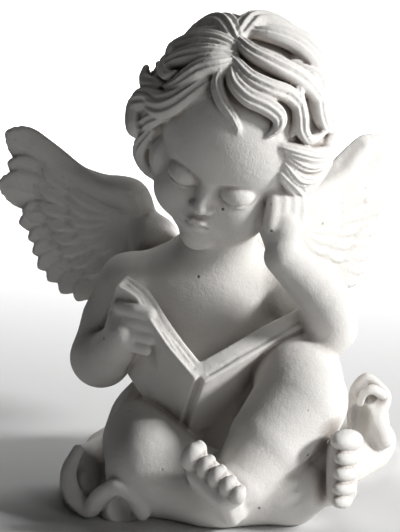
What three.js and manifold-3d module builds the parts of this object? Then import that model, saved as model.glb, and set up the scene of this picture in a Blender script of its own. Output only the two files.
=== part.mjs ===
// Seated cherub reading a book, with its cheek on its hand and a cloth under it, cast in one piece.
// Millimetres, +Z up, the front faces -Y and the figure's left hand is at +X.
// The form is modelled like clay: rounded shapes are blended into one field, and the field's skin is the solid.
import * as THREE from 'three';
import { mergeVertices } from 'three/addons/utils/BufferGeometryUtils.js';
import Module from 'manifold-3d';

// ---------- driving dimensions ----------
const HEIGHT = 280; // the finished statue, floor to the top of the hair
const MODEL_HEIGHT = 280; // the height at which the places and sizes below are stated
const GRID = 2.5; // spacing of the points at which the field is sampled
const FACES = 9700; // triangles kept when the skin is simplified
const SPACE = { low: [-128, -136, -8], high: [124, 92, 296] }; // the block that the clay lies in

// ---------- vectors ----------
const plus = (a, b, times = 1) => [a[0] + b[0] * times, a[1] + b[1] * times, a[2] + b[2] * times];
const minus = (a, b) => plus(a, b, -1);
const dot = (a, b) => a[0] * b[0] + a[1] * b[1] + a[2] * b[2];
const cross = (a, b) => [a[1] * b[2] - a[2] * b[1], a[2] * b[0] - a[0] * b[2], a[0] * b[1] - a[1] * b[0]];
const unit = (a) => plus([0, 0, 0], a, 1 / Math.hypot(...a));
const mix = (a, b, t) => a.map((value, i) => value + (b[i] - value) * t);
const radians = THREE.MathUtils.degToRad;
const WORLD = [[1, 0, 0], [0, 1, 0], [0, 0, 1]];

// A smooth path through points of any dimension (uniform Catmull-Rom), with `steps` spans to each pair of points.
function smooth(points, steps) {
  const at = (i) => points[Math.min(Math.max(i, 0), points.length - 1)];
  const path = [];
  for (let i = 0; i < points.length - 1; i++) {
    for (let s = 0; s < steps; s++) {
      const t = s / steps;
      path.push(at(i).map((p1, n) => {
        const [p0, p2, p3] = [at(i - 1)[n], at(i + 1)[n], at(i + 2)[n]];
        return 0.5 * (2 * p1 + (p2 - p0) * t + (2 * p0 - 5 * p1 + 4 * p2 - p3) * t * t
          + (3 * p1 - p0 - 3 * p2 + p3) * t * t * t);
      }));
    }
  }
  path.push(at(points.length - 1));
  return path;
}

// ---------- shapes: each has the box that holds it and its distance, negative inside ----------
const ball = (centre, radius) => bone(centre, radius, centre, radius);

// A round bar from a to b that tapers from one radius to the other.
function bone(a, ra, b, rb) {
  const e = minus(b, a);
  const length2 = Math.max(dot(e, e), 1e-9);
  const distance = (x, y, z) => {
    const [px, py, pz] = [x - a[0], y - a[1], z - a[2]];
    const t = Math.min(Math.max((px * e[0] + py * e[1] + pz * e[2]) / length2, 0), 1);
    return Math.hypot(px - e[0] * t, py - e[1] * t, pz - e[2] * t) - ra - (rb - ra) * t;
  };
  return {
    low: a.map((value, i) => Math.min(value - ra, b[i] - rb)),
    high: a.map((value, i) => Math.max(value + ra, b[i] + rb)),
    distance,
  };
}

// Bars one after another through points [x, y, z, radius].
const limb = (points) => points.slice(1).map((b, i) => bone(points[i], points[i][3], b, b[3]));
const rope = (points, steps = 4) => limb(smooth(points, steps));

// An ellipsoid with its radii along three axes.
function egg(centre, radii, axes = WORLD) {
  const reach = [0, 1, 2].map((i) => Math.hypot(...axes.map((axis, n) => axis[i] * radii[n])));
  const distance = (x, y, z) => {
    const p = [x - centre[0], y - centre[1], z - centre[2]];
    const q = axes.map((axis, n) => dot(p, axis) / radii[n]);
    const far = Math.hypot(...q);
    const steep = Math.hypot(q[0] / radii[0], q[1] / radii[1], q[2] / radii[2]);
    return steep < 1e-9 ? -Math.min(...radii) : far * (far - 1) / steep;
  };
  return { low: minus(centre, reach), high: plus(centre, reach), distance };
}

// A box with rounded edges; its three edge vectors need not be square to each other.
function slab(centre, edges, halves, round) {
  const volume = dot(edges[0], cross(edges[1], edges[2]));
  const duals = [0, 1, 2].map((i) => plus([0, 0, 0], cross(edges[(i + 1) % 3], edges[(i + 2) % 3]), 1 / volume));
  const reach = [0, 1, 2].map((i) => edges.reduce((sum, edge, n) => sum + Math.abs(edge[i]) * halves[n], 0));
  const distance = (x, y, z) => {
    const p = [x - centre[0], y - centre[1], z - centre[2]];
    const q = duals.map((dual, n) => (Math.abs(dot(p, dual)) - halves[n]) / Math.hypot(...dual) + round);
    return Math.hypot(...q.map((value) => Math.max(value, 0))) + Math.min(Math.max(...q), 0) - round;
  };
  return { low: minus(centre, reach), high: plus(centre, reach), distance };
}

// A flattened strand along a path, like a lock of hair: half as wide as `width(t)` and thick by `thick(t)`,
// flat against the surface whose outward direction at a point is `facing(point)`.
function strand(path, width, thick, facing) {
  return path.slice(1).map((b, i) => {
    const a = path[i];
    const [ta, tb] = [i / (path.length - 1), (i + 1) / (path.length - 1)];
    const along = unit(minus(b, a));
    const across = unit(cross(along, facing(mix(a, b, 0.5))));
    const out = cross(across, along);
    const span = Math.hypot(...minus(b, a));
    const [wa, wb, ha, hb] = [width(ta), width(tb), thick(ta), thick(tb)];
    const reach = Math.max(wa, wb, ha, hb);
    const distance = (x, y, z) => {
      const p = [x - a[0], y - a[1], z - a[2]];
      const t = Math.min(Math.max(dot(p, along) / span, 0), 1);
      const [w, h] = [wa + (wb - wa) * t, ha + (hb - ha) * t];
      const [l, v, u] = [dot(p, along) - span * t, dot(p, across), dot(p, out)];
      const far = Math.hypot(l / h, v / w, u / h);
      const steep = Math.hypot(l / (h * h), v / (w * w), u / (h * h));
      return steep < 1e-9 ? -Math.min(w, h) : far * (far - 1) / steep;
    };
    return {
      low: a.map((value, n) => Math.min(value, b[n]) - reach),
      high: a.map((value, n) => Math.max(value, b[n]) + reach),
      distance,
    };
  });
}

// ---------- the clay: a grid of signed distances ----------
class Clay {
  constructor({ low, high }, step) {
    this.low = low;
    this.step = step;
    this.size = low.map((value, i) => Math.ceil((high[i] - value) / step) + 1);
    this.values = new Float32Array(this.size[0] * this.size[1] * this.size[2]).fill(1e3);
  }

  // The range of grid points within `margin` of a box, as [first, last + 1] along each axis.
  range(low, high, margin) {
    return low.map((value, i) => [
      Math.max(Math.floor((value - margin - this.low[i]) / this.step), 0),
      Math.min(Math.ceil((high[i] + margin - this.low[i]) / this.step) + 1, this.size[i]),
    ]);
  }

  // Joins shapes to the clay, or cuts them out of it where sign is -1, with a fillet of about `blend`.
  merge(shapes, blend, sign) {
    const margin = blend + 2 * this.step;
    const low = [0, 1, 2].map((i) => Math.min(...shapes.map((shape) => shape.low[i])));
    const high = [0, 1, 2].map((i) => Math.max(...shapes.map((shape) => shape.high[i])));
    const block = this.range(low, high, margin);
    const [nx, ny, nz] = block.map(([from, to]) => Math.max(to - from, 0));
    const nearest = new Float32Array(nx * ny * nz).fill(1e3);
    for (const shape of shapes) {
      const own = this.range(shape.low, shape.high, margin);
      for (let i = own[0][0]; i < own[0][1]; i++) {
        for (let j = own[1][0]; j < own[1][1]; j++) {
          let at = ((i - block[0][0]) * ny + j - block[1][0]) * nz + own[2][0] - block[2][0];
          for (let k = own[2][0]; k < own[2][1]; k++, at++) {
            const d = shape.distance(this.low[0] + i * this.step, this.low[1] + j * this.step, this.low[2] + k * this.step);
            if (d < nearest[at]) nearest[at] = d;
          }
        }
      }
    }
    for (let i = 0, at = 0; i < nx; i++) {
      for (let j = 0; j < ny; j++) {
        let point = ((i + block[0][0]) * this.size[1] + j + block[1][0]) * this.size[2] + block[2][0];
        for (let k = 0; k < nz; k++, at++, point++) {
          const [a, b] = [this.values[point] * sign, nearest[at]];
          const overlap = Math.max(blend - Math.abs(a - b), 0);
          this.values[point] = sign * (Math.min(a, b) - overlap * overlap / (4 * blend));
        }
      }
    }
  }

  add(shapes, blend) {
    this.merge([shapes].flat(Infinity), blend, 1);
  }

  cut(shapes, blend) {
    this.merge([shapes].flat(Infinity), blend, -1);
  }

  // Clears the outermost layer, so that what reaches out of the block is closed there.
  close() {
    const [nx, ny, nz] = this.size;
    for (let at = 0; at < this.values.length; at++) {
      const place = [Math.floor(at / (ny * nz)), Math.floor(at / nz) % ny, at % nz];
      if (place.some((n, i) => n === 0 || n === [nx, ny, nz][i] - 1)) this.values[at] = this.step;
    }
  }
}

// ---------- the skin: marching tetrahedra, six to a cell, which always closes ----------
function skinOf(clay) {
  const [nx, ny, nz] = clay.size;
  const values = clay.values;
  const stride = [ny * nz, nz, 1];
  const offset = (bits) => (bits & 1 ? stride[0] : 0) + (bits & 2 ? stride[1] : 0) + (bits & 4 ? stride[2] : 0);
  const tetrahedra = [[1, 2, 1], [2, 4, 1], [4, 1, 1], [2, 1, -1], [4, 2, -1], [1, 4, -1]]
    .map(([a, b, turn]) => ({ corners: [0, a, a | b, 7], turn }));
  // The crossed edges of a right-handed tetrahedron, in outward order, for each set of corners that lie inside.
  const one = [[0, 1, 0, 2, 0, 3], [1, 0, 1, 3, 1, 2], [2, 3, 2, 0, 2, 1], [3, 2, 3, 1, 3, 0]];
  const two = { 3: [0, 2, 0, 3, 1, 3, 1, 2], 5: [0, 3, 0, 1, 2, 1, 2, 3], 9: [0, 1, 0, 2, 3, 2, 3, 1] };
  const positions = [];
  const triangles = [];
  const made = new Map();
  const vertex = (cell, p, q) => {
    const [a, b] = p < q ? [p, q] : [q, p];
    const start = cell + offset(a);
    const key = start * 8 + (a ^ b);
    if (!made.has(key)) {
      const [va, vb] = [values[start], values[start + offset(a ^ b)]];
      const t = Math.min(Math.max(va / (va - vb), 0.1), 0.9);
      const place = [Math.floor(start / stride[0]), Math.floor(start / nz) % ny, start % nz];
      place.forEach((n, i) => positions.push(clay.low[i] + clay.step * (n + ((a ^ b) >> i & 1) * t)));
      made.set(key, positions.length / 3 - 1);
    }
    return made.get(key);
  };
  for (let i = 0; i < nx - 1; i++) {
    for (let j = 0; j < ny - 1; j++) {
      for (let k = 0; k < nz - 1; k++) {
        const cell = (i * ny + j) * nz + k;
        let inside = 0;
        for (let bits = 0; bits < 8; bits++) if (values[cell + offset(bits)] < 0) inside |= 1 << bits;
        if (inside === 0 || inside === 255) continue;
        for (const { corners, turn } of tetrahedra) {
          let mask = corners.reduce((sum, bits, n) => sum | (inside >> bits & 1) << n, 0);
          if (mask === 0 || mask === 15) continue;
          const single = [1, 2, 4, 8].indexOf(mask) >= 0;
          const triple = [14, 13, 11, 7].indexOf(mask) >= 0;
          const flipped = triple || (!single && !two[mask]);
          if (flipped) mask = 15 - mask;
          const edges = single || triple ? one[[1, 2, 4, 8].indexOf(mask)] : two[mask];
          const ring = [];
          for (let n = 0; n < edges.length; n += 2) ring.push(vertex(cell, corners[edges[n]], corners[edges[n + 1]]));
          if (flipped !== (turn < 0)) ring.reverse();
          for (let n = 2; n < ring.length; n++) triangles.push(ring[0], ring[n - 1], ring[n]);
        }
      }
    }
  }
  return { positions, triangles };
}

// Keeps the largest closed surface: loose crumbs and sealed hollows are other surfaces.
function largestOf({ positions, triangles }) {
  const parent = Int32Array.from({ length: positions.length / 3 }, (_, i) => i);
  const root = (i) => {
    while (parent[i] !== i) i = parent[i] = parent[parent[i]];
    return i;
  };
  for (let n = 0; n < triangles.length; n += 3) {
    parent[root(triangles[n])] = root(triangles[n + 1]);
    parent[root(triangles[n])] = root(triangles[n + 2]);
  }
  const counts = new Map();
  for (const i of triangles) counts.set(root(i), (counts.get(root(i)) ?? 0) + 1);
  const biggest = [...counts].sort((a, b) => b[1] - a[1])[0][0];
  const kept = [];
  for (let n = 0; n < triangles.length; n += 3) {
    if (root(triangles[n]) === biggest) kept.push(triangles[n], triangles[n + 1], triangles[n + 2]);
  }
  return { positions, triangles: kept };
}

// ---------- simplifying: edges are collapsed, the flattest first, by quadric error ----------
class Heap {
  constructor() {
    this.items = [];
  }

  push(item) {
    const items = this.items;
    let i = items.push(item) - 1;
    while (i > 0 && items[i >> 1].cost > item.cost) {
      items[i] = items[i >> 1];
      i >>= 1;
    }
    items[i] = item;
  }

  pop() {
    const items = this.items;
    const top = items[0];
    const last = items.pop();
    if (!items.length) return top;
    let i = 0;
    for (;;) {
      let child = Math.max(i * 2, 1);
      if (child >= items.length) break;
      if (child + 1 < items.length && items[child + 1].cost < items[child].cost) child++;
      if (items[child].cost >= last.cost) break;
      items[i] = items[child];
      i = child;
    }
    items[i] = last;
    return top;
  }
}

function simplify({ positions, triangles }, target) {
  const count = positions.length / 3;
  const place = Float64Array.from(positions);
  const faces = Int32Array.from(triangles);
  const around = Array.from({ length: count }, () => []);
  for (let n = 0; n < faces.length; n++) around[faces[n]].push(Math.floor(n / 3));
  const point = (i) => [place[i * 3], place[i * 3 + 1], place[i * 3 + 2]];
  const corners = (face) => [faces[face * 3], faces[face * 3 + 1], faces[face * 3 + 2]];
  const normal = (a, b, c) => cross(minus(b, a), minus(c, a));
  // A quadric holds the upper half of a symmetric 4 x 4 matrix: the squared distances to planes, by area.
  const quadrics = Array.from({ length: count }, () => new Float64Array(10));
  const addPlane = (quadric, n, d, weight) => {
    const p = [n[0], n[1], n[2], d];
    for (let i = 0, at = 0; i < 4; i++) for (let j = i; j < 4; j++, at++) quadric[at] += weight * p[i] * p[j];
  };
  for (let face = 0; face < faces.length / 3; face++) {
    const [a, b, c] = corners(face).map(point);
    const scaled = normal(a, b, c);
    const area = Math.hypot(...scaled);
    if (area < 1e-12) continue;
    const n = unit(scaled);
    for (const i of corners(face)) addPlane(quadrics[i], n, -dot(n, a), area);
  }
  const error = (q, [x, y, z]) => q[0] * x * x + 2 * q[1] * x * y + 2 * q[2] * x * z + 2 * q[3] * x + q[4] * y * y
    + 2 * q[5] * y * z + 2 * q[6] * y + q[7] * z * z + 2 * q[8] * z + q[9];
  const best = (q, a, b) => {
    const columns = [[q[0], q[1], q[2]], [q[1], q[4], q[5]], [q[2], q[5], q[7]]];
    const right = [-q[3], -q[6], -q[8]];
    const det = dot(columns[0], cross(columns[1], columns[2]));
    const middle = mix(a, b, 0.5);
    if (Math.abs(det) > 1e-3 * (q[0] + q[4] + q[7]) ** 3 / 27) {
      const solved = [0, 1, 2].map((i) => {
        const swapped = columns.map((column, n) => (n === i ? right : column));
        return dot(swapped[0], cross(swapped[1], swapped[2])) / det;
      });
      if (Math.hypot(...minus(solved, middle)) < 2 * Math.hypot(...minus(a, b))) return solved;
    }
    return [a, b, middle].sort((p, r) => error(q, p) - error(q, r))[0];
  };
  const stamps = new Int32Array(count);
  const heap = new Heap();
  const offer = (a, b) => {
    const joined = quadrics[a].map((value, i) => value + quadrics[b][i]);
    const [pa, pb] = [point(a), point(b)];
    const goal = best(joined, pa, pb);
    const length = Math.hypot(...minus(pa, pb));
    heap.push({ cost: error(joined, goal) + 2e-4 * length ** 4, a, b, goal, stamp: stamps[a] + stamps[b] });
  };
  const neighbours = (i) => new Set(around[i].flatMap(corners).filter((n) => n !== i));
  const offerAll = () => {
    for (let i = 0; i < count; i++) for (const n of neighbours(i)) if (n > i) offer(i, n);
  };
  const thin = (scaled, ring) => {
    const longest = Math.max(...ring.map((p, n) => Math.hypot(...minus(p, ring[(n + 1) % 3]))));
    return Math.hypot(...scaled) < 0.06 * longest ** 2;
  };
  // A collapse must not turn a face over or leave it a sliver; which way a sliver faces says nothing.
  const holds = (i, other, goal) => around[i].every((face) => {
    const ring = corners(face);
    if (ring.includes(other)) return true;
    const still = ring.map(point);
    const moved = ring.map((n) => (n === i ? goal : point(n)));
    const [before, after] = [normal(...still), normal(...moved)];
    if (thin(before, still)) return true;
    return !thin(after, moved) && dot(before, after) > 0.2 * Math.hypot(...before) * Math.hypot(...after);
  });
  let left = faces.length / 3;
  let goneBefore = left + 1;
  while (left > target) {
    if (!heap.items.length) {
      if (left === goneBefore) break; // a whole round took nothing away
      goneBefore = left;
      offerAll();
    }
    const { a, b, goal, stamp } = heap.pop();
    if (!around[a].length || !around[b].length || stamp !== stamps[a] + stamps[b]) continue;
    const [na, nb] = [neighbours(a), neighbours(b)];
    if (!na.has(b) || [...na].filter((n) => nb.has(n)).length !== 2) continue;
    if (!holds(a, b, goal) || !holds(b, a, goal)) continue;
    place.set(goal, a * 3);
    quadrics[b].forEach((value, i) => { quadrics[a][i] += value; });
    for (const face of around[b]) {
      if (corners(face).includes(a)) {
        for (const n of corners(face)) if (n !== b) around[n] = around[n].filter((f) => f !== face);
        left--;
      } else {
        for (let n = face * 3; n < face * 3 + 3; n++) if (faces[n] === b) faces[n] = a;
        around[a].push(face);
      }
    }
    around[b] = [];
    stamps[b]++;
    stamps[a]++;
    for (const n of neighbours(a)) offer(a, n);
  }
  const kept = new Set(around.flat());
  const number = new Map();
  const result = { positions: [], triangles: [] };
  for (const face of kept) {
    for (const i of corners(face)) {
      if (!number.has(i)) {
        number.set(i, number.size);
        result.positions.push(...point(i));
      }
      result.triangles.push(number.get(i));
    }
  }
  return result;
}

// ---------- the sitter's joints ----------
const AT = {
  rightShoulder: [-41, 5, 117], rightElbow: [-59, 10, 71], rightWrist: [-48, -26, 89],
  leftShoulder: [46, 5, 117], leftElbow: [74, -36, 103], leftWrist: [45, -52, 148],
  rightHip: [-28, 10, 29], rightKnee: [-28, -57, 26], rightAnkle: [50, -70, 18],
  leftHip: [37, 20, 34], leftKnee: [54, -43, 75], leftAnkle: [21, -85, 31],
};
const joint = (name, radius) => [...AT[name], radius];

function addTorso(clay) {
  clay.add([egg([0, 12, 38], [43, 36, 34])], 10);
  clay.add([egg([2, -4, 68], [38, 34, 32])], 16);
  clay.add([egg([4, 4, 108], [40, 29, 36])], 16);
  clay.add(limb([joint('rightShoulder', 16), [4, 8, 120, 20], joint('leftShoulder', 16)]), 14);
  clay.add(limb([[8, 2, 135, 21], [13, -14, 162, 20]]), 12);
  clay.add([egg([-23, 32, 25], [26, 26, 26]), egg([25, 32, 25], [26, 26, 26])], 8);
}

function addRightArm(clay) {
  clay.add(limb([joint('rightShoulder', 17), [-53, 12, 94, 16.5], joint('rightElbow', 16.5)]), 7);
  clay.add(rope([joint('rightElbow', 16.5), [-56, -8, 76, 16], joint('rightWrist', 10.5)]), 5);
}

// The right hand holds the book from outside: four fingers lie one over another across its cover.
function addRightHand(clay) {
  clay.add(limb([joint('rightWrist', 10.5), [-42, -38, 98, 10]]), 5);
  const fingers = [[114, 5.2, 19], [107, 5.4, 21], [100, 5.2, 20], [93.5, 4.6, 17]];
  for (const [height, radius, length] of fingers) {
    const knuckle = [-45, -39, height];
    const middle = [-45 + length * 0.55, -46 - radius * 0.4, height + 0.5];
    const tip = [-45 + length * 1.05, -46, height - 2.5];
    clay.add(limb([[...knuckle, radius + 0.6], [...middle, radius], [...tip, radius * 0.82]]), 1.6);
  }
}

function addLeftArm(clay) {
  clay.add(limb([joint('leftShoulder', 17), [60, -14, 109, 16], joint('leftElbow', 14.5)]), 7);
  clay.add(rope([joint('leftElbow', 14.5), [68, -46, 122, 14.5], joint('leftWrist', 11)]), 4);
}

// The left hand is closed beside the cheek: four fingers side by side, pointing up.
function addLeftHand(clay) {
  clay.add([egg([45, -49, 160], [10, 9, 13])], 3);
  const knuckles = [38, -52, 166];
  const apart = [4.9, 2.2, -0.6];
  [[22, 4.4], [25, 4.7], [24, 4.6], [20, 4.2]].forEach(([length, radius], i) => {
    const base = plus(knuckles, apart, i);
    const bend = plus(base, [1.5, 2.5, length * 0.5]);
    const tip = plus(base, [1, 7, length]);
    clay.add(limb([[...base, radius + 0.6], [...bend, radius], [...tip, radius * 0.85]]), 1.4);
  });
  clay.add(limb([[41, -46, 152, 6], [35, -44, 166, 5.2], [33, -42, 176, 4.6]]), 2);
}

// A foot of five toes; `row` runs along the toes towards the big one and `top` out of the instep.
function addFoot(clay, heel, ball, row, top) {
  const along = unit(minus(ball, heel));
  clay.add(limb([[...heel, 12.5], [...plus(heel, minus(ball, heel), 0.5), 12]]), 8);
  clay.add(limb([[...plus(ball, row, 12), 9], [...plus(ball, row, -11), 8]]), 6);
  clay.add([egg(mix(heel, ball, 0.55), [24, 17, 12], [along, row, top])], 6);
  const toes = [[16, 6, 11], [6.6, 4.7, 11.5], [-1.2, 4.5, 11], [-8.6, 4.3, 10], [-15.6, 4, 8.5]];
  for (const [place, radius, length] of toes) {
    const root = plus(plus(ball, row, place * 0.9), top, 1);
    const tip = plus(plus(ball, row, place), along, length);
    clay.add(limb([[...root, radius], [...tip, radius]]), 1.2);
  }
}

function addLeftLeg(clay) {
  clay.add(limb([joint('leftHip', 30), [54, -12, 49, 29], joint('leftKnee', 24)]), 10);
  clay.add(limb([joint('leftKnee', 24), [55, -56, 66, 26.5], [37, -72, 48, 22.5], joint('leftAnkle', 16)]), 4);
  addFoot(clay, [17, -82, 13], [8, -105, 36.5], [-0.76, 0.44, 0.48], [0.65, 0.5, 0.57]);
}

function addRightLeg(clay) {
  clay.add(limb([joint('rightHip', 27.5), [-30, -22, 31, 28], joint('rightKnee', 25.5)]), 8);
  clay.add(limb([joint('rightKnee', 24), [4, -69, 19, 22], joint('rightAnkle', 18)]), 5);
  addFoot(clay, [66, -46, 18], [76, -80, 33], [0.06, 0.28, 0.96], [-0.96, 0.26, -0.02]);
  clay.add(limb([[58, -62, 8, 12], [71, -71, 8, 9]]), 5);
}

// ---------- the book, open in a V with its pages towards the sitter ----------
const BOOK = {
  spine: [-1, -62, 84], // the middle of the spine's upper end
  down: unit([-12, 32, -46]), // from the upper end of the spine to the lower
  height: 56,
  thick: 10,
  right: [[-1, -62, 84], [-14, -54, 98], [-25, -46, 112], [-33, -39, 123], [-44, -33, 129]],
  left: [[-1, -62, 84], [18, -55, 93], [38, -45, 102], [57, -36, 109]],
};

function addBook(clay) {
  for (const edge of [BOOK.right, BOOK.left]) {
    const path = smooth(edge, 2);
    const leaves = path.slice(1).map((b, i) => {
      const a = path[i];
      const across = unit(minus(b, a));
      const out = unit(cross(BOOK.down, across));
      const centre = plus(mix(a, b, 0.5), BOOK.down, BOOK.height / 2);
      return slab(centre, [across, BOOK.down, out], [Math.hypot(...minus(b, a)) / 2 + 1.2, BOOK.height / 2, BOOK.thick / 2], 1.5);
    });
    clay.add(leaves, 1.5);
  }
}

// ---------- the head: its own side, back and up axes, nodding, turned to the right and leaning left ----------
const HEAD = { centre: [19, -22, 208.5], side: [0.911, -0.242, -0.332], back: [0.347, 0.887, 0.307], up: [0.22, -0.395, 0.892] };
const HEAD_AXES = [HEAD.side, HEAD.back, HEAD.up];
const onHead = ([s, b, u]) => plus(plus(plus(HEAD.centre, HEAD.side, s), HEAD.back, b), HEAD.up, u);
const headEgg = (centre, radii) => egg(onHead(centre), radii, HEAD_AXES);
const headLimb = (points) => limb(points.map(([s, b, u, radius]) => [...onHead([s, b, u]), radius]));
const SIDES = [-1, 1];

function addFace(clay) {
  clay.add([headEgg([0, 4, 6], [42, 46, 44])], 8);
  clay.add([headEgg([0, -13, 14], [35, 31, 30])], 12);
  clay.add([headEgg([0, -10, -25], [31, 29, 30])], 12);
  clay.add(SIDES.map((way) => headEgg([way * 17, -22, -29], [16, 16, 16])), 10);
  clay.add([headEgg([0, -14, -48], [18, 18, 10])], 8);
  clay.add([headEgg([0, -32, -49], [9, 8, 8])], 6);
  clay.cut(SIDES.map((way) => headEgg([way * 15.5, -45, -10], [10, 5.5, 6.5])), 6);
  clay.add(SIDES.map((way) => headEgg([way * 15.2, -34, -12], [9.5, 8.4, 7.6])), 1.5);
  clay.add(headLimb([[0, -42, -6, 2.6], [0, -46.5, -20, 4.2]]), 4);
  clay.add(SIDES.map((way) => headEgg([way * 4.4, -44.5, -22.5], [3.2, 3.6, 2.8])), 2);
  clay.add(SIDES.map((way) => headLimb([[0, -43.8, -34, 2], [way * 6.5, -41.6, -35, 1.3]])), 1.5);
  clay.add([headEgg([0, -41.8, -39.5], [6, 3, 2.6])], 1.5);
}

// ---------- the hair ----------
const HAIR = { centre: [-1, 8, 8], radii: [48.5, 52, 50] };

// A lock lies on the hair's round mass. Its points are directions from the middle of that mass, to the
// sitter's left, back and up, and how far the lock is lifted off it in tenths of the radius.
function lock(points, width, thick) {
  const path = smooth(points, 4).map(([s, b, u, lift]) => {
    const way = unit([s, b, u]);
    return onHead(HAIR.centre.map((value, i) => value + way[i] * HAIR.radii[i] * (1 + lift / 10)));
  });
  const middle = onHead(HAIR.centre);
  const swell = (t) => Math.sin(Math.PI * (0.18 + 0.74 * t));
  return strand(path, (t) => width * swell(t), (t) => thick * (0.4 + 0.6 * swell(t)), (point) => unit(minus(point, middle)));
}

const around = (azimuth, elevation) => {
  const [a, e] = [radians(azimuth), radians(elevation)];
  return [Math.sin(a) * Math.cos(e) * 10, -Math.cos(a) * Math.cos(e) * 10, Math.sin(e) * 10];
};

// Locks combed by hand about the parting, each with its half width and half thickness.
const COMBED = [
  [[[-3, -2, 9, 0.2], [0, -2, 10, 0.6], [3, -1, 10, 0.8], [6, -1, 8, 0.4]], 8, 5],
  [[[-2, -3, 9, 0.2], [1, -4, 9, 0.9], [4, -3, 9, 1], [7, -3, 7, 0.8], [8, -4, 5, 0.4]], 8, 5],
  [[[-2, -4, 9, 0.2], [1, -5, 9, 0.8], [4, -5, 8, 1], [6, -5, 6, 0.9], [8, -5, 3, 0.5]], 7.5, 5],
  [[[-3, -4, 9, 0.2], [-1, -6, 8, 0.7], [3, -6, 7, 0.8], [5, -7, 5, 0.6], [4, -8, 4, 0.2]], 7.5, 5],
  [[[-3, -5, 8, 0], [-2, -7, 6, 0.3], [-1, -8, 5, 0.2], [1, -9, 5, 0.1], [2, -9, 4, -0.1]], 5.5, 4],
  [[[-2, -1, 10, 0.2], [1, 1, 10, 0.8], [5, 1, 9, 1], [7, 0, 7, 0.8], [9, -2, 4, 0.5]], 8, 5],
  [[[-3, 1, 10, 0.4], [1, 3, 10, 1], [5, 3, 8, 1], [8, 2, 6, 0.8], [9, 0, 3, 0.6]], 8, 5],
  [[[7, -6, 4, 0.1], [7, -6, 3, 0.7], [8, -5, 2.5, 1], [9, -3, 3, 1]], 5, 4.5],
  [[[7, -6, 3, 0.2], [8, -6, 2, 0.8], [9, -4, 1, 1.1], [10, -1, 1, 1], [10, 1, 2, 0.8]], 5.5, 5],
  [[[7, -6, 2, 0.2], [9, -5, 0, 0.9], [10, -2, -1, 1.2], [10, 1, 0, 1]], 5.5, 5],
  [[[8, -7, 0, 0.1], [9, -5, -2, 0.7], [9, -3, -4, 0.8], [8, -3, -5, 0.5]], 5.5, 5],
  [[[-3, -2, 9, 0.2], [-5, -2, 8, 0.8], [-7, -2, 7, 0.9], [-9, -1, 5, 0.7], [-10, 0, 4, 1]], 8, 5.5],
  [[[-3, -3, 9, 0.2], [-4, -5, 7, 0.8], [-6, -5, 6, 1], [-8, -4, 4, 0.9], [-9, -3, 4, 1.2], [-9, -2, 5, 1.4]], 8.5, 5.5],
  [[[-4, -6, 7, 0], [-6, -7, 4, 0.6], [-8, -6, 2, 0.8], [-10, -3, 0.5, 1.2], [-10, -1, 1.5, 1.5]], 8, 5.5],
  [[[-3, -1, 10, 0.4], [-5, 2, 8, 1.1], [-7, 3, 6, 1.2], [-9, 1, 5, 0.8]], 8, 6],
  [[[-3, 0, 10, 0.4], [-2, 3, 9, 1.2], [1, 4, 9, 1], [4, 4, 8, 0.8]], 9, 6],
  [[[-7, -7, 3, 0], [-9, -4, 1, 1.3], [-10, -3, -1, 2.3], [-9, -4, -2.5, 2.5], [-9, -4, -3.5, 1.8]], 7, 6],
  [[[-7, -7, 2, 0], [-9, -5, -1, 0.8], [-9, -4, -3, 1], [-7, -6, -3.5, 0.6]], 6.5, 5],
  [[[-8, -5, -2, 0.4], [-8, -4, -4.5, 2], [-7, -4, -6, 2.2], [-5, -5, -6.5, 1.2]], 6.5, 5.5],
];

function addHair(clay) {
  clay.add([headEgg([0, 10, 9], [47.5, 49, 48]), headEgg([0, 20, -20], [38, 30, 33]), headEgg([-38, 0, -6], [20, 22, 22])], 4);
  for (const [points, width, thick] of COMBED) clay.add(lock(points, width, thick), 1.6);
  // Tiers of locks fall from the crown round the sides and the back, each swaying as it falls.
  const tiers = [[12, 66, 20, 0.7], [13, 38, -14, 0.7], [13, 8, -48, 0.8]];
  tiers.forEach(([count, top, foot, lift], tier) => {
    for (let n = 0; n < count; n++) {
      const azimuth = 84 + (192 * (n + 0.5 * (tier % 2))) / (count - 0.5);
      const sway = 9 + 4 * Math.sin(2.4 * n + tier);
      const points = [0, 0.35, 0.7, 1].map((t, i) => {
        const [turn, height] = [azimuth + sway * [0, 1, -0.4, 0.9][i], top + (foot - top) * t];
        return [...around(turn, height), lift * [0, 1, 0.9, 1.2][i]];
      });
      clay.add(lock(points, 8.5, 5.5), 1.6);
    }
  });
}

// ---------- the wings ----------
// Feathers fan out from the wrist of the wing. A row lists the angle of each feather above the outward
// direction and its reach from the wrist, and gives the whole row its start, half width, thickness and lift.
const PRIMARIES = [[34, 78], [25, 79], [16, 77], [7, 74], [-3, 69], [-14, 67], [-25, 65], [-35, 67], [-45, 68], [-55, 69],
  [-66, 67], [-77, 64], [-88, 62], [-100, 60]];
const SECONDARIES = [[20, 52], [8, 52], [-4, 50], [-17, 48], [-30, 46], [-43, 46], [-56, 46], [-70, 45], [-85, 44], [-100, 42]];
const COVERTS = [[26, 32], [10, 33], [-6, 33], [-22, 32], [-39, 31], [-56, 30], [-74, 29], [-93, 29]];

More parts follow.
